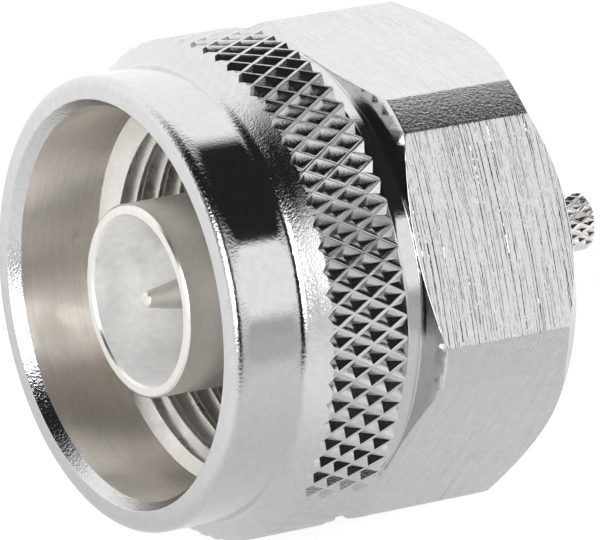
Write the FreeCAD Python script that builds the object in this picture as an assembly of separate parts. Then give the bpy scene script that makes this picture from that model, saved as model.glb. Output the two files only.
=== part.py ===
import FreeCAD, Part
import math
import os

# Straight coaxial plug of the N size with a crimp neck for a thin cable, lying on its side.
# Millimetres. +X runs along the axis from the mating end to the cable, +Z is up.
# The origin is the centre of the contact sleeve's front face, where two connectors meet.
# One flat of the nut's hexagon faces straight down.

# Fits between pieces
running_clearance = 0.08
assembly_clearance = 0.02
nut_end_play = 0.15
flange_side_play = 0.175

# Contact sleeve and front body
rim_setback = 1.15
sleeve_radius = 4.05
sleeve_wall = 0.525
sleeve_edge_bevel = 0.1
sleeve_length = 10.2
flange_thickness = 1.3
hub_wall = 1.62
hub_tail = 1.15
hub_edge_bevel = 0.2
pocket_step = 0.775
pocket_wall = 0.65

# Sealing gasket. Its width also sets the room between the sleeve and the nut.
gasket_seat_step = 0.3
gasket_seat_play = 0.05
gasket_thickness = 1.1
gasket_width = 2.6
gasket_bore_play = 0.05
gasket_inset = 0.2

# Thread of the nut, 5/8 inch with 24 turns to the inch. Only its minor bore is cut here.
thread_depth = 0.565
thread_lead_angle = 30.0
relief_depth = 0.11
relief_before_flange = 1.45
relief_length = 1.1

# Coupling nut. Its lengths run from the front rim to the back.
mouth_play = 0.28
mouth_depth = 4.25
mouth_bevel_width = 0.34
mouth_bevel_length = 0.49
collar_wall = 1.28
collar_length = 3.2
rim_rounding = 0.45
shoulder_height = 1.0
shoulder_length = 0.68
shoulder_drop = 0.17
shoulder_fillet = 0.45
band_length = 3.66
groove_step = 0.1
groove_slope_length = 0.61
groove_floor_length = 0.8
groove_fillet = 0.5
flat_depth = 1.0
hex_front_angle = 28.0
hex_rear_chamfer = 1.0
nut_tail = 1.55
nut_rear_bevel = 0.3

# Diamond knurl of the band
knurl_count = 70
knurl_angle = 30.0
knurl_depth = 0.35
knurl_turn = 0.9

# Split ring that keeps the nut on the body
ring_from_flange = 1.5
ring_thickness = 0.8
ring_width = 1.15
ring_side_play = 0.05
ring_gap = 1.6
ring_seat_depth = 0.67
nut_groove_side_play = 0.15
nut_groove_top_play = 0.25

# Centre contact
pin_tip_recess = 0.4
pin_tip_radius = 0.33
pin_tip_rounding = 0.14
pin_cone_length = 2.65
pin_radius = 0.825
pin_shoulder_depth = 5.6
conductor_radius = 1.52
waist_radius = 1.0
solder_tail_length = 1.5
solder_cup_radius = 0.3
solder_cup_depth = 1.8

# Insulators
boss_length = 1.0
bead_length = 1.6
bush_end_gap = 0.25

# Rear body with the crimp neck
chamber_radius = 1.85
chamber_end_gap = 0.5
rear_flange_step = 0.62
rear_flange_length = 0.9
rear_flange_bevel = 0.3
step_radius = 2.6
step_length = 0.8
neck_bore_radius = 0.825
neck_wall = 0.445
neck_length = 5.5
neck_end_rounding = 0.3
neck_smooth_length = 0.35
neck_knurl_count = 16
neck_knurl_depth = 0.14
neck_knurl_angle = 30.0

AXIS = FreeCAD.Vector(1, 0, 0)
ORIGIN = FreeCAD.Vector(0, 0, 0)
FULL_TURN = 360.0

# Radii that follow from the sizes above
sleeve_bore_radius = sleeve_radius - sleeve_wall
pocket_radius = sleeve_bore_radius + pocket_step
hub_radius = pocket_radius + hub_wall
rear_flange_radius = hub_radius - rear_flange_step
gasket_seat_radius = sleeve_radius + gasket_seat_step
gasket_bore_radius = gasket_seat_radius + gasket_bore_play
gasket_radius = gasket_bore_radius + gasket_width
flange_radius = gasket_radius + gasket_inset
thread_minor_radius = flange_radius + flange_side_play
thread_major_radius = thread_minor_radius + thread_depth
relief_radius = thread_major_radius + relief_depth
mouth_radius = thread_major_radius + mouth_play
collar_radius = mouth_radius + collar_wall
band_radius = collar_radius + shoulder_height
groove_radius = collar_radius - groove_step
nut_bore_radius = hub_radius + running_clearance
ring_seat_radius = hub_radius - ring_seat_depth
ring_inner_radius = ring_seat_radius + assembly_clearance
ring_outer_radius = ring_inner_radius + ring_width
neck_radius = neck_bore_radius + neck_wall

# Places along the axis that follow from the sizes above
rim_x = -rim_setback
shoulder_x = rim_x + collar_length
band_front_x = shoulder_x + shoulder_length
band_rear_x = band_front_x + band_length
groove_x = band_rear_x + groove_slope_length
hex_front_x = groove_x + groove_floor_length
flange_front_x = sleeve_length
gasket_front_x = flange_front_x - gasket_thickness
gasket_seat_x = gasket_front_x - gasket_seat_play
flange_rear_x = flange_front_x + flange_thickness
ring_front_x = flange_rear_x + ring_from_flange
ring_rear_x = ring_front_x + ring_thickness
hub_rear_x = ring_rear_x + hub_tail
nut_rear_x = ring_rear_x + nut_tail
pocket_front_x = flange_front_x + pocket_wall
bead_rear_x = pocket_front_x + bead_length
waist_rear_x = bead_rear_x + solder_tail_length
chamber_front_x = bead_rear_x + assembly_clearance
chamber_rear_x = waist_rear_x + chamber_end_gap
rear_flange_x = hub_rear_x + rear_flange_length
neck_front_x = rear_flange_x + step_length
neck_rear_x = neck_front_x + neck_length


def corner_arc(before, corner, after, radius):
    """The arc that rounds a corner between two lines, held to under half of the shorter line."""
    back = before - corner
    ahead = after - corner
    half = back.getAngle(ahead) / 2
    reach = min(radius / math.tan(half), 0.49 * back.Length, 0.49 * ahead.Length)
    rounding = reach * math.tan(half)
    back.normalize()
    ahead.normalize()
    start = corner + back * reach
    end = corner + ahead * reach
    inward = (back + ahead).normalize()
    middle = corner + inward * (rounding / math.sin(half) - rounding)
    return start, end, Part.Arc(start, middle, end).toShape()


def turned(outline):
    """A solid turned about the axis. Each outline point is x, radius and an optional rounding."""
    points = [FreeCAD.Vector(point[0], point[1], 0) for point in outline]
    starts = list(points)
    ends = list(points)
    arcs = [None] * len(points)
    for i, point in enumerate(outline):
        if len(point) == 3:
            following = (i + 1) % len(points)
            starts[i], ends[i], arcs[i] = corner_arc(points[i - 1], points[i], points[following], point[2])
    edges = []
    for i in range(len(points)):
        if arcs[i]:
            edges.append(arcs[i])
        following = (i + 1) % len(points)
        edges.append(Part.makeLine(ends[i], starts[following]))
    face = Part.Face(Part.Wire(edges))
    return face.revolve(ORIGIN, AXIS, FULL_TURN)


def on_ring(x, radius, turn):
    """The point at a radius and at an angle in degrees about the axis, counted from +Y."""
    angle = math.radians(turn)
    return FreeCAD.Vector(x, radius * math.cos(angle), radius * math.sin(angle))


def clipped(polygon, limit, side):
    """The part of a flat polygon beyond the plane x = limit, on the side given as +1 or -1."""
    kept = []
    for i, point in enumerate(polygon):
        before = polygon[i - 1]
        here = side * (point.x - limit)
        there = side * (before.x - limit)
        if here * there < 0:
            kept.append(before + (point - before) * (there / (there - here)))
        if here >= 0:
            kept.append(point)
    return kept


def knurl_triangles(radius, depth, count, angle, turn, start, end):
    """The knurl's facets: crossed ridges at the full radius round pits, with pits on the end."""
    gap = math.pi * radius / count / math.tan(math.radians(angle))
    step_turn = FULL_TURN / count / 2
    stations = math.ceil((end - start) / gap) + 1
    first_x = end - stations * gap
    for station in range(stations):
        for step in range(2 * count):
            corners = []
            for across, along in ((0, 0), (0, 1), (1, 1), (1, 0)):
                on_ridge = (station + across + step + along) % 2 == 0
                level = radius if on_ridge else radius - depth
                x = first_x + (station + across) * gap
                corners.append(on_ring(x, level, turn + (step + along) * step_turn))
            # Each cell is split along its ridge, which joins two corners at the full radius
            split = 0 if (station + step) % 2 == 0 else 1
            order = corners[split:] + corners[:split]
            yield [order[0], order[1], order[2]]
            yield [order[0], order[2], order[3]]


def knurled_ring(radius, depth, count, angle, turn, start, end, inner_radius):
    """A ring from start to end whose outside is a diamond knurl of flat facets."""
    tiny = 1e-6
    faces = []
    rims = {start: {}, end: {}}
    for triangle in knurl_triangles(radius, depth, count, angle, turn, start, end):
        polygon = clipped(clipped(triangle, start, 1), end, -1)
        places = [point.x for point in polygon]
        if len(polygon) < 3 or max(places) - min(places) < tiny:
            continue
        faces.append(Part.Face(Part.makePolygon(polygon + polygon[:1])))
        for x, rim in rims.items():
            for point in polygon:
                if abs(point.x - x) < tiny:
                    rim[round(math.atan2(point.z, point.y), 6)] = point
    for x, rim in rims.items():
        loop = [rim[place] for place in sorted(rim)]
        outer = Part.makePolygon(loop + loop[:1])
        inner = Part.Wire(Part.makeCircle(inner_radius, FreeCAD.Vector(x, 0, 0), AXIS))
        faces.append(Part.makeFace([outer, inner], "Part::FaceMakerBullseye"))
    bore = Part.makeCylinder(inner_radius, end - start, FreeCAD.Vector(start, 0, 0), AXIS)
    faces += [face for face in bore.Faces if face.Surface.TypeId == "Part::GeomCylinder"]
    shell = Part.makeShell(faces)
    shell.sewShape()
    solid = Part.Solid(Part.Shell(shell.Faces))
    if solid.Volume < 0:
        solid.reverse()
    return solid


def nut_blank():
    """The turned nut, with its band left low for the knurled ring."""
    band_core = band_radius - knurl_depth - shoulder_drop
    band_edge = band_radius - knurl_depth - assembly_clearance
    hex_slope = (band_radius - groove_radius) * math.tan(math.radians(hex_front_angle))
    lead = (mouth_radius - thread_minor_radius) * math.tan(math.radians(thread_lead_angle))
    lead_x = rim_x + mouth_depth
    relief_x = flange_front_x - relief_before_flange
    shoulder_seat_x = flange_rear_x + nut_end_play
    groove_front = ring_front_x - nut_groove_side_play
    groove_rear = ring_rear_x + nut_groove_side_play
    groove_top = ring_outer_radius + nut_groove_top_play
    return turned([
        (rim_x, mouth_radius + mouth_bevel_width),
        (rim_x, collar_radius, rim_rounding),
        (shoulder_x, collar_radius, shoulder_fillet),
        (band_front_x + assembly_clearance, band_radius - shoulder_drop),
        (band_front_x + assembly_clearance, band_core),
        (band_rear_x - assembly_clearance, band_core),
        (band_rear_x - assembly_clearance, band_edge),
        (groove_x, groove_radius, groove_fillet),
        (hex_front_x, groove_radius),
        (hex_front_x + hex_slope, band_radius),
        (nut_rear_x - hex_rear_chamfer, band_radius),
        (nut_rear_x, band_radius - hex_rear_chamfer),
        (nut_rear_x, nut_bore_radius + nut_rear_bevel),
        (nut_rear_x - nut_rear_bevel, nut_bore_radius),
        (groove_rear, nut_bore_radius),
        (groove_rear, groove_top),
        (groove_front, groove_top),
        (groove_front, nut_bore_radius),
        (shoulder_seat_x, nut_bore_radius),
        (shoulder_seat_x, thread_minor_radius),
        (relief_x + relief_length, thread_minor_radius),
        (relief_x + relief_length, relief_radius),
        (relief_x, relief_radius),
        (relief_x, thread_minor_radius),
        (lead_x + lead, thread_minor_radius),
        (lead_x, mouth_radius),
        (rim_x + mouth_bevel_length, mouth_radius),
    ])


def coupling_nut():
    """The nut: collar, knurled band, neck groove and hexagon, with one flat facing down."""
    cut_front = (groove_x + hex_front_x) / 2
    cut_length = nut_rear_x - cut_front + nut_tail
    slabs = []
    for i in range(6):
        corner = FreeCAD.Vector(cut_front, -band_radius, band_radius - flat_depth)
        slab = Part.makeBox(cut_length, 2 * band_radius, band_radius, corner)
        slab.rotate(ORIGIN, AXIS, FULL_TURN * i / 6)
        slabs.append(slab)
    hexed = nut_blank().cut(Part.makeCompound(slabs))
    band_inner = band_radius - knurl_depth - 2 * shoulder_drop
    band = knurled_ring(band_radius, knurl_depth, knurl_count, knurl_angle, knurl_turn,
                        band_front_x, band_rear_x, band_inner)
    return hexed.fuse(band)


def contact_sleeve_body():
    """The front body in one turned piece: contact sleeve, flange and hub with its ring groove."""
    seat_front = ring_front_x - ring_side_play
    seat_rear = ring_rear_x + ring_side_play
    return turned([
        (0, sleeve_bore_radius + sleeve_edge_bevel),
        (0, sleeve_radius - sleeve_edge_bevel),
        (sleeve_edge_bevel, sleeve_radius),
        (gasket_seat_x, sleeve_radius),
        (gasket_seat_x, gasket_seat_radius),
        (flange_front_x, gasket_seat_radius),
        (flange_front_x, flange_radius),
        (flange_rear_x, flange_radius),
        (flange_rear_x, hub_radius),
        (seat_front, hub_radius),
        (seat_front, ring_seat_radius),
        (seat_rear, ring_seat_radius),
        (seat_rear, hub_radius),
        (hub_rear_x - hub_edge_bevel, hub_radius),
        (hub_rear_x, hub_radius - hub_edge_bevel),
        (hub_rear_x, pocket_radius),
        (pocket_front_x, pocket_radius),
        (pocket_front_x, sleeve_bore_radius),
        (sleeve_edge_bevel, sleeve_bore_radius),
    ])


def retaining_ring():
    """A flat split ring in the hub's groove, its gap at the top."""
    ring = turned([
        (ring_front_x, ring_inner_radius),
        (ring_front_x, ring_outer_radius),
        (ring_rear_x, ring_outer_radius),
        (ring_rear_x, ring_inner_radius),
    ])
    corner = FreeCAD.Vector(ring_front_x - ring_thickness, -ring_gap / 2, 0)
    return ring.cut(Part.makeBox(3 * ring_thickness, ring_gap, 2 * ring_outer_radius, corner))


def gasket():
    """A flat rubber ring against the flange, on its seat round the foot of the sleeve."""
    return turned([
        (gasket_front_x, gasket_bore_radius),
        (gasket_front_x, gasket_radius),
        (flange_front_x, gasket_radius),
        (flange_front_x, gasket_bore_radius),
    ])


def centre_contact():
    """The pin with its cone, the thicker conductor behind it and the waist in the insulators."""
    cup_x = waist_rear_x - solder_cup_depth
    return turned([
        (pin_tip_recess, 0),
        (pin_tip_recess, pin_tip_radius, pin_tip_rounding),
        (pin_tip_recess + pin_cone_length, pin_radius),
        (pin_shoulder_depth, pin_radius),
        (pin_shoulder_depth, conductor_radius),
        (pocket_front_x, conductor_radius),
        (pocket_front_x, waist_radius),
        (waist_rear_x, waist_radius),
        (waist_rear_x, solder_cup_radius),
        (cup_x, solder_cup_radius),
        (cup_x, 0),
    ])


def front_insulator():
    """The bead that holds the contact: a disc in the pocket and a boss in the sleeve's bore."""
    boss_radius = sleeve_bore_radius - assembly_clearance
    bead_radius = pocket_radius - assembly_clearance
    wide_bore = conductor_radius + assembly_clearance
    narrow_bore = waist_radius + assembly_clearance
    seat_x = pocket_front_x + assembly_clearance
    return turned([
        (pocket_front_x - boss_length, wide_bore),
        (pocket_front_x - boss_length, boss_radius),
        (seat_x, boss_radius),
        (seat_x, bead_radius),
        (bead_rear_x, bead_radius),
        (bead_rear_x, narrow_bore),
        (seat_x, narrow_bore),
        (seat_x, wide_bore),
    ])


def rear_insulator():
    """A bush round the contact's solder end, inside the rear body."""
    start = chamber_front_x
    end = chamber_rear_x - bush_end_gap
    outer = chamber_radius - assembly_clearance
    inner = waist_radius + assembly_clearance
    return turned([(start, inner), (start, outer), (end, outer), (end, inner)])


def crimp_body():
    """The rear body, pressed into the front one, with the knurled neck that takes the crimp."""
    spigot_radius = pocket_radius - assembly_clearance
    root = neck_radius - neck_knurl_depth - assembly_clearance
    core = turned([
        (chamber_front_x, chamber_radius),
        (chamber_front_x, spigot_radius),
        (hub_rear_x, spigot_radius),
        (hub_rear_x, rear_flange_radius),
        (rear_flange_x - rear_flange_bevel, rear_flange_radius),
        (rear_flange_x, rear_flange_radius - rear_flange_bevel),
        (rear_flange_x, step_radius),
        (neck_front_x, step_radius),
        (neck_front_x, root),
        (neck_rear_x, root, neck_end_rounding / 2),
        (neck_rear_x, neck_bore_radius),
        (chamber_rear_x, neck_bore_radius),
        (chamber_rear_x, chamber_radius),
    ])
    knurl_x = neck_front_x + neck_smooth_length
    inner = (root + neck_bore_radius) / 2
    ring = knurled_ring(neck_radius, neck_knurl_depth, neck_knurl_count, neck_knurl_angle, 0,
                        knurl_x, neck_rear_x, inner)
    # The ring's rear edge is rounded by a plain stud that is wider than its ridges elsewhere
    stud = turned([
        (neck_front_x, 0),
        (neck_front_x, neck_radius + assembly_clearance),
        (neck_rear_x - assembly_clearance, neck_radius + assembly_clearance, neck_end_rounding),
        (neck_rear_x - assembly_clearance, 0),
    ])
    return core.fuse(ring.common(stud))


NODES = {
    "coupling_nut": coupling_nut,
    "contact_sleeve_body": contact_sleeve_body,
    "retaining_ring": retaining_ring,
    "gasket": gasket,
    "centre_contact": centre_contact,
    "front_insulator": front_insulator,
    "rear_insulator": rear_insulator,
    "crimp_body": crimp_body,
}

os.makedirs("parts", exist_ok=True)
for name, make in NODES.items():
    shape = make()
    solid = shape.Solids[0]
    solid.exportStep("parts/" + name + ".step")
    print(name, "valid", shape.isValid(), "solids", len(shape.Solids), "volume", round(solid.Volume, 3))
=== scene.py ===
import math

import bmesh
import bpy
import numpy as np
from mathutils import Matrix, Vector


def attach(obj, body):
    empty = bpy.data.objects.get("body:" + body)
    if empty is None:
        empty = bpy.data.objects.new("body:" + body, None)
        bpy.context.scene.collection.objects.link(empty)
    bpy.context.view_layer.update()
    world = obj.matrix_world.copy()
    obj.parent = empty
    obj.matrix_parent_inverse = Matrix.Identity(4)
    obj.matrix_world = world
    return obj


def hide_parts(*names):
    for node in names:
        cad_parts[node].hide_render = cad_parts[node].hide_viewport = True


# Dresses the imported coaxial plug: each CAD node gets a finer mesh of the same sizes.
# Outlines are in millimetres, as x and radius about the X axis, and meshes are in metres.
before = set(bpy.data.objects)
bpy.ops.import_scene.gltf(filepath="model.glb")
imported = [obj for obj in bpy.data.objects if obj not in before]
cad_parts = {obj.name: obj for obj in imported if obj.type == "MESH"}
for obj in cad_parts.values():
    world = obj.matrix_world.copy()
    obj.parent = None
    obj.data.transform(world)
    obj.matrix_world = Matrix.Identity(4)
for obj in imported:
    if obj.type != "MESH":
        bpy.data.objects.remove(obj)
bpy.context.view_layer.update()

MM = 0.001
TINY = 1e-9
MERGE_DISTANCE = 1e-7
SHARP_ANGLE = math.radians(24.0)
TURN = 2 * math.pi

# Every edge is broken a little, and a support line keeps the faces beside it flat
EDGE_ROUNDING = 0.035
SUPPORT = 0.03
ARC_STEP = math.radians(15.0)

# Sizes shared by several pieces
SLEEVE_RADIUS = 4.05
SLEEVE_BORE_RADIUS = 3.525
GASKET_SEAT_RADIUS = 4.35
FLANGE_RADIUS = 7.2
HUB_RADIUS = 5.92
POCKET_RADIUS = 4.3
FLANGE_FRONT_X = 10.2
FLANGE_REAR_X = 11.5
POCKET_FRONT_X = 10.85
BEAD_REAR_X = 12.45
HUB_REAR_X = 14.95

RING_GROOVE_RADIUS = 5.25
CHAMBER_RADIUS = 1.85
CABLE_BORE_RADIUS = 0.825
CONDUCTOR_BORE_RADIUS = 1.02

# Coupling nut
RIM_X = -1.15
MOUTH_RADIUS = 8.22
COLLAR_RADIUS = 9.5
SHOULDER_X = 2.05
BAND_FRONT_X = 2.73
BAND_REAR_X = 6.39
BAND_RADIUS = 10.5
GROOVE_X = 7.0
GROOVE_RADIUS = 9.4
SHOULDER_TOP_RADIUS = 10.33
SHOULDER_END_X = 2.42
SHOULDER_END_RADIUS = COLLAR_RADIUS + (SHOULDER_TOP_RADIUS - COLLAR_RADIUS) * (0.37 / 0.68)
HEX_FRONT_X = 7.8
HEX_FRONT_ANGLE = math.radians(28.0)
FLAT_DISTANCE = 9.5
NUT_REAR_X = 15.35
HEX_REAR_CHAMFER = 1.0
NUT_BORE_RADIUS = 6.0
NUT_GROOVE_RADIUS = 6.67
NUT_GROOVE_FRONT_X = 12.85
NUT_GROOVE_REAR_X = 13.95
FLANGE_STOP_X = 11.65
BAND_REAR_RADIUS = 10.07
LEAD_X = 3.1
LEAD_ANGLE = math.radians(30.0)
RELIEF_X = 8.75
RELIEF_REAR_X = 9.85
RELIEF_RADIUS = 8.05

# Right-hand thread, 5/8 inch with 24 turns to the inch
THREAD_PITCH = 25.4 / 24
THREAD_MAJOR = 7.94
THREAD_MINOR = 7.375
THREAD_ROOT_FLAT = 0.13
THREAD_CREST_BREAK = 0.03
THREAD_START = 0.75

# Diamond knurls
KNURL_COUNT = 70
KNURL_DEPTH = 0.35
KNURL_TURN = math.radians(0.9)
KNURL_ANGLE = math.radians(30.0)
RIDGE_FLAT = 0.035
RIDGE_BREAK = 0.035
RIDGE_BREAK_DEPTH = 0.014
RIDGE_DIP = 0.008
NECK_KNURL_COUNT = 16
NECK_KNURL_DEPTH = 0.14
NECK_RADIUS = 1.27
NECK_KNURL_X = 17.0
NECK_REAR_X = 22.15
NECK_END_ROUNDING = 0.3


# Outlines and meshes
def as_columns(value, count):
    """A number, or an array with one number per column, as such an array."""
    return np.broadcast_to(np.asarray(value, float), (count,))


def rounded_stations(outline, count, closed):
    """Points along an outline for each column, its corners rounded and its faces held flat."""
    corners = [np.stack([as_columns(p[0], count), as_columns(p[1], count)], axis=1) for p in outline]
    found = []
    last = len(outline) - 1
    for i, corner in enumerate(corners):
        if not closed and i in (0, last):
            found.append(corner)
            continue
        back = corners[i - 1] - corner
        ahead = corners[(i + 1) % len(corners)] - corner
        back_length = np.linalg.norm(back, axis=1, keepdims=True) + TINY
        ahead_length = np.linalg.norm(ahead, axis=1, keepdims=True) + TINY
        back = back / back_length
        ahead = ahead / ahead_length
        cosine = np.clip((back * ahead).sum(axis=1, keepdims=True), -0.9999, 0.9999)
        half = np.arccos(cosine) / 2
        rounding = outline[i][2] if len(outline[i]) == 3 else EDGE_ROUNDING
        reach = np.minimum(rounding / np.tan(half), 0.42 * np.minimum(back_length, ahead_length))
        radius = reach * np.tan(half)
        middle = back + ahead
        middle = middle / (np.linalg.norm(middle, axis=1, keepdims=True) + TINY)
        centre = corner + middle * radius / np.sin(half)
        start = corner + back * reach
        end = corner + ahead * reach
        sweep = math.pi - 2 * half
        steps = max(2, math.ceil(float(sweep.max()) / ARC_STEP))
        back_room = np.minimum(SUPPORT, 0.5 * (0.5 * back_length - reach))
        ahead_room = np.minimum(SUPPORT, 0.5 * (0.5 * ahead_length - reach))
        found.append(start + back * back_room)
        for k in range(steps + 1):
            share = k / steps
            one = np.sin((1 - share) * sweep)
            two = np.sin(share * sweep)
            found.append(centre + (one * (start - centre) + two * (end - centre)) / np.sin(sweep))
        found.append(end + ahead * ahead_room)
    return np.array(found)


def on_turn(stations, angles):
    """Points in space for stations of x and radius, one column for each angle from +Y to +Z."""
    x = stations[..., 0]
    r = stations[..., 1]
    return np.stack([x, r * np.cos(angles), r * np.sin(angles)], axis=-1)


class Shell:
    """Vertices in millimetres and faces, gathered for one piece."""

    def __init__(self):
        self.points = []
        self.faces = []

    def add_points(self, points):
        start = len(self.points)
        self.points.extend(map(tuple, np.asarray(points, float).reshape(-1, 3)))
        return start

    def add_grid(self, points, closed):
        """Quads over rows of points that each go right round the axis."""
        rows, columns = points.shape[:2]
        start = self.add_points(points)
        for i in range(rows if closed else rows - 1):
            below = start + i * columns
            above = start + ((i + 1) % rows) * columns
            for j in range(columns):
                k = (j + 1) % columns
                self.faces.append((below + j, below + k, above + k, above + j))

    def add_polygon(self, points):
        start = self.add_points(points)
        self.faces.append(tuple(range(start, start + len(points))))

    def add_zip(self, one, one_keys, two, two_keys):
        """Triangles between two lines of points, matched by rising keys."""
        first = self.add_points(one)
        second = self.add_points(two)
        i = 0
        j = 0
        while i < len(one) - 1 or j < len(two) - 1:
            one_next = one_keys[i + 1] if i < len(one) - 1 else math.inf
            two_next = two_keys[j + 1] if j < len(two) - 1 else math.inf
            if one_next <= two_next:
                self.faces.append((first + i, first + i + 1, second + j))
                i += 1
            else:
                self.faces.append((first + i, second + j + 1, second + j))
                j += 1


def make_piece(name, shell, node, body, materials):
    """A piece from a shell, which stands for a CAD node and rides on its body."""
    mesh = bpy.data.meshes.new(name)
    mesh.from_pydata([(x * MM, y * MM, z * MM) for x, y, z in shell.points], [], shell.faces)
    work = bmesh.new()
    work.from_mesh(mesh)
    bmesh.ops.remove_doubles(work, verts=work.verts, dist=MERGE_DISTANCE)
    bmesh.ops.dissolve_degenerate(work, edges=work.edges, dist=MERGE_DISTANCE)
    bmesh.ops.recalc_face_normals(work, faces=work.faces)
    for face in work.faces:
        face.smooth = True
    open_edges = sum(1 for edge in work.edges if not edge.is_manifold)
    volume = round(work.calc_volume() * 1e9, 3)
    print(name, "faces", len(work.faces), "open edges", open_edges, "volume", volume)
    work.to_mesh(mesh)
    work.free()
    mesh.set_sharp_from_angle(angle=SHARP_ANGLE)
    piece = bpy.data.objects.new(name, mesh)
    bpy.context.scene.collection.objects.link(piece)
    for material in materials:
        mesh.materials.append(material)
    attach(piece, body)
    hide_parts(node)
    return piece


def turned_shell(outline, count):
    """An outline turned about the axis. It closes on itself unless it starts and ends on the axis."""
    angles = np.arange(count) * TURN / count
    closed = outline[0][1] > 0
    shell = Shell()
    shell.add_grid(on_turn(rounded_stations(outline, count, closed), angles), closed)
    return shell


def crossing(before, there, after, here, measure):
    """The point between two others where a measure passes through nought."""
    for repeat in range(6):
        point = before + (after - before) * (there / (there - here))
        found = measure(point)
        if abs(found) < 1e-9:
            break
        if found * there > 0:
            before, there = point, found
        else:
            after, here = point, found
    return point


def clipped(polygon, measure):
    """The part of a polygon where a measure of its points isn't negative."""
    kept = []
    for i, point in enumerate(polygon):
        before = polygon[i - 1]
        here = measure(point)
        there = measure(before)
        if here * there < 0:
            kept.append(crossing(before, there, point, here, measure))
        if here >= 0:
            kept.append(point)
    return kept


def knurl_polygons(radius, depth, count, turn, start, end, shallow=-math.inf):
    """Pits between crossed ridges. Each ridge has a faint dip along its top and broken edges."""
    gap = math.pi * radius / count / math.tan(KNURL_ANGLE)
    step = math.pi / count
    width = radius * step
    slant = gap * width / math.hypot(gap, width)
    scales = (1.0, 1 - RIDGE_FLAT / slant, 1 - (RIDGE_FLAT + RIDGE_BREAK) / slant)
    drops = (RIDGE_DIP, 0.0, RIDGE_BREAK_DEPTH)
    stations = math.ceil((end - start) / gap) + 1
    first_x = end - stations * gap
    for station in range(stations + 1):
        for place in range(2 * count):
            if (stations - station + place) % 2 == 0:
                continue
            x = first_x + station * gap
            angle = turn + place * step
            loops = []
            for scale, drop in zip(scales, drops):
                loop = []
                for along, across in ((-1, 0), (0, 1), (1, 0), (0, -1)):
                    a = angle + across * scale * step
                    r = radius - drop
                    loop.append(np.array([x + along * scale * gap, r * math.cos(a), r * math.sin(a)]))
                loops.append(loop)
            low = radius - (depth if x > shallow else 2 * RIDGE_BREAK_DEPTH)
            apex = np.array([x, low * math.cos(angle), low * math.sin(angle)])
            for side in range(4):
                other = (side + 1) % 4
                for outer, inner in zip(loops, loops[1:]):
                    yield [outer[side], outer[other], inner[other]]
                    yield [outer[side], inner[other], inner[side]]
                yield [loops[-1][side], loops[-1][other], apex]


def beyond_plane(limit, side):
    """How far a point lies beyond the plane x = limit, on the side given as +1 or -1."""
    return lambda point: side * (point[0] - limit)


def under_cone(x_start, r_start, x_end, r_end):
    """How far a point lies inside the cone through two places of an outline."""
    slope = (r_end - r_start) / (x_end - x_start)
    return lambda point: r_start + slope * (point[0] - x_start) - math.hypot(point[1], point[2])


def add_knurl(shell, polygons, front, rear, cuts=(), envelope=None):
    """Adds knurl polygons between two surfaces, and gives the loop of points on each one."""
    rims = ({}, {})
    planes = [beyond_plane(cut, 1) for cut in cuts]
    starts = [front, *planes]
    for polygon in polygons:
        for i, start in enumerate(starts):
            kept = clipped(clipped(polygon, start), rear)
            if i < len(planes):
                kept = clipped(kept, beyond_plane(cuts[i], -1))
            if len(kept) < 3:
                continue
            on_front = [abs(front(point)) < 1e-6 for point in kept]
            on_rear = [abs(rear(point)) < 1e-6 for point in kept]
            if all(on_front) or all(on_rear):
                continue
            if envelope:
                kept = [envelope(point) for point in kept]
            shell.add_polygon(kept)
            for rim, marks in zip(rims, (on_front, on_rear)):
                for point, mark in zip(kept, marks):
                    if mark:
                        rim[round(math.atan2(point[2], point[1]) % TURN, 5)] = point
    return [sorted(rim.items()) for rim in rims]


def join_rings(shell, rim, stations, angles):
    """Joins a knurl's rim to a ring of the turned part at the same place."""
    keys = [key for key, point in rim]
    points = [point for key, point in rim]
    keys = keys + [keys[0] + TURN]
    points = points + [points[0]]
    order = np.argsort(angles % TURN)
    ring = on_turn(stations, angles)[order]
    ring_keys = (angles % TURN)[order]
    ring = np.concatenate([ring, ring[:1]])
    ring_keys = np.append(ring_keys, ring_keys[0] + TURN)
    shell.add_zip(points, keys, ring, ring_keys)


# The coupling nut
def nut_angles():
    """Columns round the nut, close together at the edges between its flats and its corners."""
    edge = math.degrees(math.acos(FLAT_DISTANCE / BAND_RADIUS))
    half = [0.0, *np.arange(0.75, 24.2, 0.75), edge - 0.7, edge - 0.2, edge, edge + 0.2, edge + 0.7]
    half += list(np.linspace(edge + 1.4, 30.0, 5))
    sector = [-a for a in reversed(half[1:-1])] + half
    degrees = [90.0 + 60.0 * flat + a for flat in range(6) for a in sector]
    return np.radians(degrees), np.radians(np.tile(sector, 6)), math.radians(edge)


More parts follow.
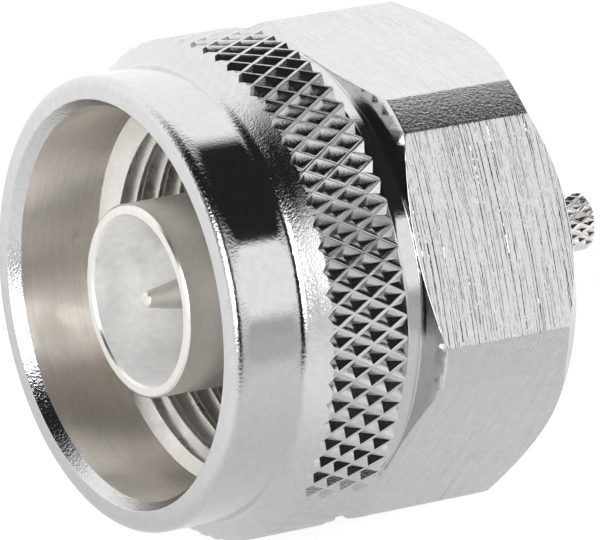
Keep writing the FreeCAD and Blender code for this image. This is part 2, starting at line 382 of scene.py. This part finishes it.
def thread_column(angle):
    """The inside of the nut along one column, from the lead cone to the relief, with its keys."""
    flank = (THREAD_MAJOR - THREAD_MINOR) * math.tan(math.radians(30.0))
    broken = THREAD_CREST_BREAK
    crest = THREAD_PITCH - THREAD_ROOT_FLAT - 2 * flank
    form = [(0.0, THREAD_MAJOR)]
    form.append((THREAD_ROOT_FLAT, THREAD_MAJOR))
    form.append((THREAD_ROOT_FLAT + flank - broken * 0.5, THREAD_MINOR + broken * 0.87))
    form.append((THREAD_ROOT_FLAT + flank + broken, THREAD_MINOR))
    form.append((THREAD_ROOT_FLAT + flank + crest - broken, THREAD_MINOR))
    form.append((THREAD_ROOT_FLAT + flank + crest + broken * 0.5, THREAD_MINOR + broken * 0.87))
    shift = LEAD_X + THREAD_START + THREAD_PITCH * angle / TURN
    turns = range(-3, 8)
    thread_x = np.array([shift + THREAD_PITCH * turn + x for turn in turns for x, r in form])
    thread_r = np.array([r for turn in turns for x, r in form])
    lead_end = LEAD_X + (MOUTH_RADIUS - THREAD_MINOR) * math.tan(LEAD_ANGLE)
    cone_x = np.array([LEAD_X, lead_end, RELIEF_X])
    cone_r = np.array([MOUTH_RADIUS, THREAD_MINOR, THREAD_MINOR])
    inside = thread_x[(thread_x > LEAD_X + 1e-6) & (thread_x < RELIEF_X - 1e-6)]
    places = np.unique(np.concatenate([inside, cone_x]))
    difference = np.interp(places, thread_x, thread_r) - np.interp(places, cone_x, cone_r)
    crossings = []
    for i in range(len(places) - 1):
        if difference[i] * difference[i + 1] < -1e-12:
            share = difference[i] / (difference[i] - difference[i + 1])
            crossings.append(places[i] + share * (places[i + 1] - places[i]))
    places = np.unique(np.concatenate([places, crossings]))
    radii = np.maximum(np.interp(places, thread_x, thread_r), np.interp(places, cone_x, cone_r))
    column = list(zip(places, radii)) + [(RELIEF_X, RELIEF_RADIUS)]
    keys = [x - THREAD_PITCH * angle / TURN for x, r in column]
    keys[-1] += 1e-6
    return np.array(column), keys


def nut_shell():
    """The nut as one closed mesh: turned outside, knurled band, hexagon, bore and thread."""
    angles, from_flat, edge = nut_angles()
    count = len(angles)
    hex_radius = np.minimum(BAND_RADIUS, FLAT_DISTANCE / np.cos(from_flat))
    at_edge = np.abs(np.abs(from_flat) - edge) < math.radians(0.05)
    hex_radius = np.where(at_edge, hex_radius - 0.004, hex_radius)
    front_x = HEX_FRONT_X + (hex_radius - GROOVE_RADIUS) * math.tan(HEX_FRONT_ANGLE)
    rear_x = NUT_REAR_X - HEX_REAR_CHAMFER + BAND_RADIUS - hex_radius
    chamfer_end = BAND_RADIUS - HEX_REAR_CHAMFER
    rear_chain = rounded_stations([
        (BAND_REAR_X, BAND_REAR_RADIUS),
        (GROOVE_X, GROOVE_RADIUS, 0.5),
        (HEX_FRONT_X, GROOVE_RADIUS, 0.06),
        (front_x, hex_radius),
        (rear_x, hex_radius),
        (NUT_REAR_X, chamfer_end),
        (NUT_REAR_X, NUT_BORE_RADIUS + 0.3),
        (NUT_REAR_X - 0.3, NUT_BORE_RADIUS),
        (NUT_GROOVE_REAR_X, NUT_BORE_RADIUS),
        (NUT_GROOVE_REAR_X, NUT_GROOVE_RADIUS),
        (NUT_GROOVE_FRONT_X, NUT_GROOVE_RADIUS),
        (NUT_GROOVE_FRONT_X, NUT_BORE_RADIUS),
        (FLANGE_STOP_X, NUT_BORE_RADIUS),
        (FLANGE_STOP_X, THREAD_MINOR),
        (RELIEF_REAR_X, THREAD_MINOR),
        (RELIEF_REAR_X, RELIEF_RADIUS),
        (RELIEF_X, RELIEF_RADIUS),
    ], count, False)
    front_chain = rounded_stations([
        (LEAD_X, MOUTH_RADIUS),
        (RIM_X + 0.49, MOUTH_RADIUS),
        (RIM_X, MOUTH_RADIUS + 0.34, 0.05),
        (RIM_X, COLLAR_RADIUS, 0.45),
        (SHOULDER_X, COLLAR_RADIUS, 0.45),
        (SHOULDER_END_X, SHOULDER_END_RADIUS),
    ], count, False)
    shell = Shell()
    shell.add_grid(on_turn(rear_chain, angles), False)
    shell.add_grid(on_turn(front_chain, angles), False)
    columns = [thread_column(angle) for angle in angles]
    closing = thread_column(angles[0] + TURN)
    for j in range(count):
        column, keys = columns[j]
        following, following_keys = columns[j + 1] if j + 1 < count else closing
        turned = angles[(j + 1) % count]
        shell.add_zip(on_turn(column, angles[j]), keys, on_turn(following, turned), following_keys)
    polygons = knurl_polygons(BAND_RADIUS, KNURL_DEPTH, KNURL_COUNT, KNURL_TURN, SHOULDER_X, BAND_REAR_X,
                              BAND_FRONT_X)
    shoulder = under_cone(SHOULDER_X, COLLAR_RADIUS, BAND_FRONT_X, SHOULDER_TOP_RADIUS)
    front_rim, rear_rim = add_knurl(shell, polygons, shoulder, beyond_plane(BAND_REAR_X, -1))
    join_rings(shell, front_rim, front_chain[-1], angles)
    join_rings(shell, rear_rim, rear_chain[0], angles)
    return shell


def finish_nut(piece):
    """Gives each face its metal: 0 polished, 1 mouth, 2 milled flat, 3 corner strip, 4 thread."""
    for face in piece.data.polygons:
        x, y, z = [value / MM for value in face.center]
        radius = math.hypot(y, z)
        from_flat = (math.atan2(z, y) - math.pi / 2 + math.pi / 6) % (math.pi / 3) - math.pi / 6
        if radius < MOUTH_RADIUS + 0.01 and RIM_X + 0.45 < x < NUT_REAR_X - 0.3:
            face.material_index = 1 if x < LEAD_X - 0.02 else 4
        elif x > HEX_FRONT_X and abs(face.normal.x) < 0.2:
            face.material_index = 2 if abs(from_flat) < math.acos(FLAT_DISTANCE / BAND_RADIUS) else 3


def finish_sleeve(piece):
    """Gives the inside of the contact sleeve a paler, rougher copy of its metal; the paler colour is painted
    light, for the lamp light that falls into the sleeve.
    """
    for face in piece.data.polygons:
        x, y, z = [value / MM for value in face.center]
        face.material_index = 1 if math.hypot(y, z) < SLEEVE_BORE_RADIUS + 0.02 and x < POCKET_FRONT_X else 0


# The crimp body
def neck_envelope(point):
    """Draws a point of the neck's knurl inside the rounding of its end."""
    x, y, z = point
    radius = math.hypot(y, z)
    depth = x - (NECK_REAR_X - NECK_END_ROUNDING)
    if depth <= 0:
        return point
    drop = NECK_END_ROUNDING - math.sqrt(max(0.0, NECK_END_ROUNDING ** 2 - depth ** 2))
    limit = NECK_RADIUS + 0.02 - drop
    if radius <= limit:
        return point
    return np.array([x, y * limit / radius, z * limit / radius])


def crimp_body_shell():
    """The rear body: spigot, flange and step, and the neck with its diamond knurl."""
    count = 192
    angles = np.arange(count) * TURN / count
    root = NECK_RADIUS - NECK_KNURL_DEPTH
    chain = rounded_stations([
        (NECK_REAR_X, root - 0.16),
        (NECK_REAR_X, CABLE_BORE_RADIUS),
        (14.45, CABLE_BORE_RADIUS),
        (14.45, CHAMBER_RADIUS),
        (12.47, CHAMBER_RADIUS),
        (12.47, 4.28),
        (HUB_REAR_X, 4.28),
        (HUB_REAR_X, 5.3),
        (15.55, 5.3),
        (15.85, 5.0),
        (15.85, 2.6),
        (16.65, 2.6),
        (16.65, root + 0.02, 0.08),
        (NECK_KNURL_X - 0.02, root + 0.02),
    ], count, False)
    shell = Shell()
    shell.add_grid(on_turn(chain, angles), False)
    polygons = knurl_polygons(NECK_RADIUS, NECK_KNURL_DEPTH, NECK_KNURL_COUNT, 0.0,
                              NECK_KNURL_X, NECK_REAR_X)
    cuts = [NECK_REAR_X - share * NECK_END_ROUNDING for share in (0.9, 0.65, 0.42, 0.24, 0.1, 0.03)]
    front_rim, rear_rim = add_knurl(shell, polygons, beyond_plane(NECK_KNURL_X, 1),
                                    beyond_plane(NECK_REAR_X, -1), cuts, neck_envelope)
    join_rings(shell, front_rim, chain[-1], angles)
    join_rings(shell, rear_rim, chain[0], angles)
    return shell


def split_ring_shell():
    """The split ring in the hub's groove, its gap at the top."""
    inner = 5.27
    outer = 6.42
    half_gap = math.asin(0.8 / outer)
    count = 160
    angles = math.pi / 2 + np.linspace(half_gap, TURN - half_gap, count)
    outline = [(13.0, inner), (13.0, outer), (13.8, outer), (13.8, inner)]
    points = on_turn(rounded_stations(outline, count, True), angles)
    rows = points.shape[0]
    shell = Shell()
    start = shell.add_points(points)
    for i in range(rows):
        below = start + i * count
        above = start + ((i + 1) % rows) * count
        for j in range(count - 1):
            shell.faces.append((below + j, below + j + 1, above + j + 1, above + j))
    shell.faces.append(tuple(start + i * count for i in range(rows)))
    shell.faces.append(tuple(start + i * count + count - 1 for i in reversed(range(rows))))
    return shell


SLEEVE_OUTLINE = [
    (0, SLEEVE_BORE_RADIUS + 0.1, 0.04),
    (0, SLEEVE_RADIUS - 0.1, 0.06),
    (0.1, SLEEVE_RADIUS, 0.06),
    (9.05, SLEEVE_RADIUS),
    (9.05, GASKET_SEAT_RADIUS),
    (FLANGE_FRONT_X, GASKET_SEAT_RADIUS),
    (FLANGE_FRONT_X, FLANGE_RADIUS),
    (FLANGE_REAR_X, FLANGE_RADIUS),
    (FLANGE_REAR_X, HUB_RADIUS),
    (12.95, HUB_RADIUS),
    (12.95, RING_GROOVE_RADIUS),
    (13.85, RING_GROOVE_RADIUS),
    (13.85, HUB_RADIUS),
    (HUB_REAR_X - 0.2, HUB_RADIUS),
    (HUB_REAR_X, HUB_RADIUS - 0.2),
    (HUB_REAR_X, POCKET_RADIUS),
    (POCKET_FRONT_X, POCKET_RADIUS),
    (POCKET_FRONT_X, SLEEVE_BORE_RADIUS),
    (0.1, SLEEVE_BORE_RADIUS, 0.04),
]

GASKET_OUTLINE = [(9.1, 4.4, 0.12), (9.1, 7.0, 0.15), (10.2, 7.0, 0.15), (10.2, 4.4, 0.12)]

CONTACT_OUTLINE = [
    (0.4, 0),
    (0.4, 0.33, 0.14),
    (3.05, 0.825, 0.6),
    (5.6, 0.825, 0.05),
    (5.6, 1.52, 0.08),
    (10.85, 1.52),
    (10.85, 1.0),
    (13.95, 1.0, 0.08),
    (13.95, 0.3, 0.05),
    (12.15, 0.3),
    (12.15, 0),
]

FRONT_BEAD_OUTLINE = [
    (9.85, 1.54, 0.06),
    (9.85, 3.505, 0.1),
    (10.87, 3.505),
    (10.87, 4.28),
    (BEAD_REAR_X, 4.28),
    (BEAD_REAR_X, CONDUCTOR_BORE_RADIUS),
    (10.87, CONDUCTOR_BORE_RADIUS),
    (10.87, 1.54),
]

REAR_BUSH_OUTLINE = [
    (12.47, CONDUCTOR_BORE_RADIUS),
    (12.47, 1.83),
    (14.2, 1.83, 0.08),
    (14.2, CONDUCTOR_BORE_RADIUS, 0.08),
]


# Materials
class Nodes:
    """Short calls for the nodes of one material or world."""

    def __init__(self, tree):
        self.tree = tree
        tree.nodes.clear()

    def add(self, kind, **settings):
        node = self.tree.nodes.new(kind)
        for key, value in settings.items():
            setattr(node, key, value)
        return node

    def put(self, socket, value):
        """Links a socket to a value's socket, or sets it."""
        if isinstance(value, bpy.types.NodeSocket):
            self.tree.links.new(value, socket)
        else:
            socket.default_value = value

    def math(self, operation, *values):
        node = self.add("ShaderNodeMath", operation=operation)
        for socket, value in zip(node.inputs, values):
            self.put(socket, value)
        return node.outputs[0]

    def smooth(self, value, low, high, to_low=0.0, to_high=1.0):
        node = self.add("ShaderNodeMapRange", interpolation_type="SMOOTHSTEP")
        for key, number in (("Value", value), ("From Min", low), ("From Max", high)):
            self.put(node.inputs[key], number)
        self.put(node.inputs["To Min"], to_low)
        self.put(node.inputs["To Max"], to_high)
        return node.outputs[0]

    def mix(self, share, one, two):
        """A number between two others."""
        node = self.add("ShaderNodeMix", data_type="FLOAT")
        self.put(node.inputs[0], share)
        self.put(node.inputs[2], one)
        self.put(node.inputs[3], two)
        return node.outputs[0]

    def mix_colour(self, share, one, two):
        node = self.add("ShaderNodeMix", data_type="RGBA")
        self.put(node.inputs[0], share)
        for socket, value in ((node.inputs[6], one), (node.inputs[7], two)):
            self.put(socket, value if isinstance(value, bpy.types.NodeSocket) else (*value, 1.0))
        return node.outputs[2]

    def vector(self, x, y, z):
        node = self.add("ShaderNodeCombineXYZ")
        for socket, value in zip(node.inputs, (x, y, z)):
            self.put(socket, value)
        return node.outputs[0]

    def noise(self, vector, scale, detail=2.0, roughness=0.5):
        node = self.add("ShaderNodeTexNoise")
        self.put(node.inputs["Vector"], vector)
        self.put(node.inputs["Scale"], scale)
        self.put(node.inputs["Detail"], detail)
        self.put(node.inputs["Roughness"], roughness)
        return node.outputs["Fac"]

    def bump(self, height, strength, distance, normal=None):
        node = self.add("ShaderNodeBump")
        self.put(node.inputs["Height"], height)
        self.put(node.inputs["Strength"], strength)
        self.put(node.inputs["Distance"], distance)
        if normal:
            self.put(node.inputs["Normal"], normal)
        return node.outputs[0]


def place_in_millimetres(nodes):
    """x, y, z and the distance from the axis, in millimetres."""
    coordinates = nodes.add("ShaderNodeTexCoord")
    split = nodes.add("ShaderNodeSeparateXYZ")
    nodes.put(split.inputs[0], coordinates.outputs["Object"])
    x, y, z = [nodes.math("MULTIPLY", split.outputs[i], 1000.0) for i in range(3)]
    square = nodes.math("ADD", nodes.math("MULTIPLY", y, y), nodes.math("MULTIPLY", z, z))
    return x, y, z, nodes.math("SQRT", nodes.math("ADD", square, 1e-6))


def turned_lines(nodes, place, lines_per_mm, waviness):
    """A fine pattern of lines round the axis, as a lathe tool leaves them."""
    x, y, z, r = place
    along = nodes.math("MULTIPLY", nodes.math("ADD", x, nodes.math("MULTIPLY", r, 0.618)), lines_per_mm)
    cosine = nodes.math("MULTIPLY", nodes.math("DIVIDE", y, r), waviness)
    sine = nodes.math("MULTIPLY", nodes.math("DIVIDE", z, r), waviness)
    return nodes.noise(nodes.vector(along, cosine, sine), 1.0, 3.0, 0.6)


class Metal:
    """A metal's nodes, built up from lines, grain and patches."""

    def __init__(self, name, colour, roughness, spread, anisotropy):
        self.material = bpy.data.materials.new(name)
        self.material.use_nodes = True
        self.nodes = Nodes(self.material.node_tree)
        output = self.nodes.add("ShaderNodeOutputMaterial")
        self.shader = self.nodes.add("ShaderNodeBsdfPrincipled")
        self.nodes.put(output.inputs["Surface"], self.shader.outputs[0])
        self.shader.inputs["Metallic"].default_value = 1.0
        self.shader.inputs["Anisotropic"].default_value = anisotropy
        self.shader.inputs["Anisotropic Rotation"].default_value = 0.25
        tangent = self.nodes.add("ShaderNodeTangent", direction_type="RADIAL", axis="X")
        self.nodes.put(self.shader.inputs["Tangent"], tangent.outputs[0])
        self.place = place_in_millimetres(self.nodes)
        self.colour = colour
        self.roughness = roughness
        self.spread = spread
        self.normal = None
        self.tones = []

    def noise(self, scale, detail=2.0, roughness=0.5):
        x, y, z, r = self.place
        return self.nodes.noise(self.nodes.vector(x, y, z), scale, detail, roughness)

    def press(self, height, depth, share=1.0):
        """Bumps the surface by a height pattern of the given depth in millimetres."""
        self.normal = self.nodes.bump(height, share, depth * MM, self.normal)
        return self

    def tone(self, pattern, low, high, darkest):
        """Darkens the colour where a pattern is low."""
        self.tones.append(self.nodes.smooth(pattern, low, high, darkest, 1.0))
        return self

    def finish(self):
        nodes = self.nodes
        patches = self.noise(0.55, 3.0, 0.6)
        low = self.roughness * (1 - self.spread)
        high = self.roughness * (1 + self.spread)
        nodes.put(self.shader.inputs["Roughness"], nodes.smooth(patches, 0.3, 0.7, low, high))
        tone = nodes.smooth(self.noise(3.0, 3.0, 0.6), 0.3, 0.7, 0.94, 1.0)
        for other in self.tones:
            tone = nodes.math("MULTIPLY", tone, other)
        colour = nodes.mix_colour(tone, (0.0, 0.0, 0.0), self.colour)
        nodes.put(self.shader.inputs["Base Color"], colour)
        if self.normal:
            nodes.put(self.shader.inputs["Normal"], self.normal)
        return self.material


def polished_nickel():
    """The nut's turned outside: bright plate with faint tool lines, grainy at its edges."""
    metal = Metal("nickel_polished", NICKEL, 0.07, 0.35, 0.5)
    nodes = metal.nodes
    x, y, z, r = metal.place
    lines = turned_lines(nodes, metal.place, 14.0, 1.2)
    lines_here = nodes.smooth(metal.noise(0.35, 2.0), 0.4, 0.6, 0.15, 1.0)
    metal.press(lines, 0.0016, lines_here)
    grain = metal.noise(9.0, 3.0, 0.6)
    near_rim = nodes.smooth(x, -0.2, -0.75, 0.1, 1.0)
    metal.press(grain, 0.022, near_rim)
    on_band = nodes.math("MULTIPLY", nodes.smooth(x, 2.35, 2.65), nodes.smooth(x, 6.6, 6.4))
    metal.press(metal.noise(16.0, 3.0, 0.6), 0.008, on_band)
    on_shoulder = nodes.math("MULTIPLY", nodes.smooth(x, 1.5, 1.9), nodes.smooth(x, 2.65, 2.35))
    metal.press(grain, 0.012, on_shoulder)
    return metal.finish()


def bore_nickel():
    """The nut's inside: satin, with lines round the axis."""
    metal = Metal("nickel_bore", (0.84, 0.80, 0.745), 0.38, 0.15, 0.96)
    nodes = metal.nodes
    lines = turned_lines(nodes, metal.place, 12.0, 2.0)
    metal.press(lines, 0.003)
    metal.tone(lines, 0.3, 0.6, 0.9)
    return metal.finish()


def thread_nickel():
    """The lead cone and the thread: brighter than the mouth, with a soft shine."""
    metal = Metal("nickel_thread", (0.82, 0.80, 0.77), 0.3, 0.2, 0.3)
    metal.press(turned_lines(metal.nodes, metal.place, 12.0, 2.0), 0.0015)
    return metal.finish()


def milled_nickel():
    """The flats: lines of uneven depth across the axis, a little curved, left by a cutter."""
    metal = Metal("nickel_milled", NICKEL, 0.1, 0.3, 0.3)
    nodes = metal.nodes
    x, y, z, r = metal.place
    along_square = nodes.math("SUBTRACT", nodes.math("MULTIPLY", r, r), FLAT_DISTANCE ** 2)
    bent = nodes.math("ADD", x, nodes.math("MULTIPLY", along_square, 0.008))
    for frequency, stretch, depth in ((6.5, 0.1, 0.085), (11.0, 2.0, 0.018)):
        across = [nodes.math("MULTIPLY", value, stretch) for value in (y, z)]
        cross = nodes.vector(nodes.math("MULTIPLY", bent, frequency), *across)
        metal.press(nodes.noise(cross, 1.0, 2.0, 0.55), depth)
    return metal.finish()


def corner_nickel():
    """The strips at the nut's corners, left as the bar stock was: a mottled grain."""
    metal = Metal("nickel_corner", NICKEL, 0.13, 0.2, 0.0)
    metal.press(metal.noise(8.0, 3.0, 0.65), 0.045)
    return metal.finish()


def satin_metal(name, colour, roughness, anisotropy, line_depth):
    """Turned metal with a satin plate."""
    metal = Metal(name, colour, roughness, 0.15, anisotropy)
    lines = turned_lines(metal.nodes, metal.place, 14.0, 1.5)
    metal.press(lines, line_depth)
    return metal.finish()


def polymer(name, colour, roughness, depth):
    """A turned or moulded plastic or rubber with a faint grain."""
    material = bpy.data.materials.new(name)
    material.use_nodes = True
    nodes = Nodes(material.node_tree)
    output = nodes.add("ShaderNodeOutputMaterial")
    shader = nodes.add("ShaderNodeBsdfPrincipled")
    nodes.put(output.inputs["Surface"], shader.outputs[0])
    place = place_in_millimetres(nodes)
    x, y, z, r = place
    lines = turned_lines(nodes, place, 9.0, 1.0)
    cloud = nodes.noise(nodes.vector(x, y, z), 1.3, 3.0, 0.6)
    darker = tuple(0.9 * c for c in colour)
    nodes.put(shader.inputs["Base Color"], nodes.mix_colour(nodes.smooth(cloud, 0.3, 0.7), darker, colour))
    nodes.put(shader.inputs["Roughness"], nodes.smooth(cloud, 0.3, 0.7, roughness - 0.06, roughness + 0.06))
    nodes.put(shader.inputs["Normal"], nodes.bump(lines, 1.0, depth * MM))
    return material


NICKEL = (0.63, 0.628, 0.627)
nut_metals = [polished_nickel(), bore_nickel(), milled_nickel(), corner_nickel(), thread_nickel()]
white_bronze = satin_metal("white_bronze", (0.84, 0.82, 0.79), 0.33, 0.5, 0.002)
# The sleeve's inside: the same white bronze, rougher, and paler as painted light for the lamp light that
# falls into the sleeve
painted_light_sleeve_inside = satin_metal("white_bronze_inside_painted_light", (0.94, 0.935, 0.925), 0.85, 0.3, 0.0015)
neck_bronze = satin_metal("white_bronze_neck", (0.84, 0.82, 0.79), 0.22, 0.2, 0.001)
contact_plate = satin_metal("contact_plate", (0.82, 0.80, 0.76), 0.4, 0.3, 0.001)
spring_bronze = satin_metal("spring_bronze", (0.55, 0.42, 0.26), 0.35, 0.2, 0.001)
white_polymer = polymer("white_polymer", (0.82, 0.82, 0.80), 0.5, 0.002)
gasket_rubber = polymer("gasket_rubber", (0.035, 0.035, 0.036), 0.62, 0.002)

BODY = "connector_body"
nut = make_piece("nut", nut_shell(), "coupling_nut", "coupling_nut", nut_metals)
finish_nut(nut)
sleeve = make_piece("sleeve_and_flange", turned_shell(SLEEVE_OUTLINE, 288), "contact_sleeve_body", BODY,
                    [white_bronze, painted_light_sleeve_inside])
finish_sleeve(sleeve)
make_piece("snap_ring", split_ring_shell(), "retaining_ring", BODY, [spring_bronze])
make_piece("seal", turned_shell(GASKET_OUTLINE, 192), "gasket", BODY, [gasket_rubber])
make_piece("pin", turned_shell(CONTACT_OUTLINE, 96), "centre_contact", BODY, [contact_plate])
make_piece("front_bead", turned_shell(FRONT_BEAD_OUTLINE, 192), "front_insulator", BODY,
           [white_polymer])
make_piece("rear_bush", turned_shell(REAR_BUSH_OUTLINE, 96), "rear_insulator", BODY,
           [white_polymer])
make_piece("crimp_end", crimp_body_shell(), "crimp_body", BODY, [neck_bronze])


# Floor, light and camera
FLOOR_Z = -10.5
FLOOR_RADIUS = 1.5
GAP_START = math.radians(-124)
GAP_END = math.radians(-82)
LAMP_WAY = (-0.740, -0.579, 0.342)
LAMP_EDGE = math.cos(math.radians(17))
LAMP_CORE = math.cos(math.radians(12))
LAMP_STRENGTH = 8.8


def dark_gap(nodes, x, y):
    """1 in the dark gap round the camera, seen from above, and 0 elsewhere."""
    compass = nodes.math("ARCTAN2", y, x)
    return nodes.math("MULTIPLY", nodes.smooth(compass, GAP_START - 0.06, GAP_START + 0.06),
                      nodes.smooth(compass, GAP_END + 0.06, GAP_END - 0.06))


def painted_floor_light(nodes, x, y, gap):
    """Painted light in the floor's glow, which only metal sees: paler to the left, where the lamp lights the
    floor, paler to the right and rear, and dark near the camera.
    """
    level = nodes.mix(nodes.smooth(x, -2.0, -16.0), 0.53, 0.78)
    level = nodes.mix(nodes.smooth(x, 30.0, 55.0), level, 1.1)
    level = nodes.mix(nodes.smooth(y, 20.0, 60.0), level, 0.88)
    level = nodes.mix(nodes.smooth(y, -40.0, -75.0), level, 0.3)
    return nodes.mix(gap, level, 0.0)


def make_floor():
    """A floor that is white in the picture and keeps the object's shadow; the glow that metal mirrors in it
    is painted light.
    """
    mesh = bpy.data.meshes.new("floor")
    angles = np.arange(96) * TURN / 96
    ring = [(FLOOR_RADIUS * math.cos(a), FLOOR_RADIUS * math.sin(a), FLOOR_Z * MM) for a in angles]
    mesh.from_pydata(ring, [], [tuple(range(len(ring)))])
    floor = bpy.data.objects.new("floor", mesh)
    bpy.context.scene.collection.objects.link(floor)
    material = bpy.data.materials.new("floor_white")
    material.use_nodes = True
    nodes = Nodes(material.node_tree)
    output = nodes.add("ShaderNodeOutputMaterial")
    diffuse = nodes.add("ShaderNodeBsdfDiffuse")
    glow = nodes.add("ShaderNodeEmission")
    rays = nodes.add("ShaderNodeLightPath")
    seen = nodes.math("MAXIMUM", rays.outputs["Is Camera Ray"], rays.outputs["Is Glossy Ray"])
    seen = nodes.math("MAXIMUM", seen, rays.outputs["Is Transmission Ray"])
    x, y, z, r = place_in_millimetres(nodes)
    gap = nodes.math("MULTIPLY", dark_gap(nodes, x, y), nodes.smooth(y, -45.0, -70.0))
    # Painted shade: in the dark gap round the camera the floor is near black, so the metal mirrors darkness
    # there
    nodes.put(diffuse.inputs["Color"], nodes.mix_colour(gap, (0.45, 0.45, 0.45), (0.02, 0.02, 0.02)))
    to_camera = nodes.mix(gap, 0.78, 1.0)
    # The camera sees the floor evenly white; glossy and transmission rays see painted light and shade in its
    # glow
    level = nodes.mix(rays.outputs["Is Camera Ray"], painted_floor_light(nodes, x, y, gap), to_camera)
    nodes.put(glow.inputs["Strength"], nodes.math("MULTIPLY", seen, level))
    both = nodes.add("ShaderNodeAddShader")
    nodes.put(both.inputs[0], diffuse.outputs[0])
    nodes.put(both.inputs[1], glow.outputs[0])
    nodes.put(output.inputs["Surface"], both.outputs[0])
    mesh.materials.append(material)


def wall_light(nodes, x, y, z):
    """The walls in front and behind, for a direction, with the dark ceiling between them."""
    height = nodes.math("MAXIMUM", z, 0.01)
    rear = nodes.math("DIVIDE", nodes.math("ADD", y, nodes.math("MULTIPLY", x, 0.22)), height)
    fore = nodes.math("DIVIDE", nodes.math("ADD", y, nodes.math("MULTIPLY", x, 0.15)), height)
    # A dark patch on the right keeps the knurl's rear facets dark
    side = nodes.math("DIVIDE", y, nodes.math("MAXIMUM", x, 0.01))
    patch = nodes.math("MULTIPLY", nodes.smooth(side, 0.5, 0.25), nodes.smooth(x, 0.55, 0.75))
    behind = nodes.math("MULTIPLY", nodes.smooth(rear, 0.3, 0.48), nodes.math("SUBTRACT", 1.0, patch))
    # The front wall is dimmer at its foot and on its right
    foot = nodes.mix(nodes.smooth(x, 0.3, -0.3), 0.58, 0.84)
    above = nodes.mix(nodes.smooth(x, 0.5, -0.3), 1.2, 1.28)
    front = nodes.mix(nodes.smooth(z, 0.08, 0.2), foot, above)
    front = nodes.math("MULTIPLY", front, nodes.math("SUBTRACT", 1.0, dark_gap(nodes, x, y)))
    ahead = nodes.math("MULTIPLY", nodes.smooth(fore, -0.78, -0.87), front)
    both = nodes.math("ADD", nodes.math("MULTIPLY", behind, 1.28), ahead)
    return nodes.math("MAXIMUM", both, 0.024)


def lamp_light(nodes, direction):
    """A round lamp on the left, for a direction."""
    parts = [nodes.math("MULTIPLY", value, way) for value, way in zip(direction, LAMP_WAY)]
    toward = nodes.math("ADD", nodes.math("ADD", parts[0], parts[1]), parts[2])
    return nodes.math("MULTIPLY", nodes.smooth(toward, LAMP_EDGE, LAMP_CORE), LAMP_STRENGTH)


def make_world():
    """A studio that is white to the camera, with walls and a lamp that the metal mirrors."""
    world = bpy.data.worlds.new("studio")
    bpy.context.scene.world = world
    world.use_nodes = True
    nodes = Nodes(world.node_tree)
    output = nodes.add("ShaderNodeOutputWorld")
    sky = nodes.add("ShaderNodeBackground")
    sky.inputs["Color"].default_value = (1.0, 1.0, 1.0, 1.0)
    coordinates = nodes.add("ShaderNodeTexCoord")
    split = nodes.add("ShaderNodeSeparateXYZ")
    nodes.put(split.inputs[0], coordinates.outputs["Generated"])
    x, y, z = split.outputs
    light = nodes.math("ADD", wall_light(nodes, x, y, z), lamp_light(nodes, (x, y, z)))
    # A low white panel on the far right
    low = nodes.math("MULTIPLY", nodes.smooth(z, 0.27, 0.2), nodes.smooth(x, 0.65, 0.85))
    light = nodes.mix(low, light, 1.0)
    rays = nodes.add("ShaderNodeLightPath")
    nodes.put(sky.inputs["Strength"], nodes.mix(rays.outputs["Is Camera Ray"], light, 1.0))
    nodes.put(output.inputs["Surface"], sky.outputs[0])


def make_camera():
    """A long lens in front, to the left and above, at the photograph's angle."""
    right = Vector((0.8427, -0.5321, 0.0827)).normalized()
    forward = Vector((0.5158, 0.7536, -0.4075))
    forward = (forward - right * forward.dot(right)).normalized()
    up = right.cross(forward)
    data = bpy.data.cameras.new("camera")
    data.lens = 447.0
    data.sensor_width = 36.0
    data.clip_start = 0.01
    data.clip_end = 20.0
    camera = bpy.data.objects.new("camera", data)
    place = Vector((-151.84, -233.43, 126.30)) * MM
    turn = Matrix((right, up, -forward)).transposed()
    camera.matrix_world = Matrix.Translation(place) @ turn.to_4x4()
    bpy.context.scene.collection.objects.link(camera)
    bpy.context.scene.camera = camera


make_floor()
make_world()
make_camera()
bpy.context.scene.view_settings.view_transform = "Standard"
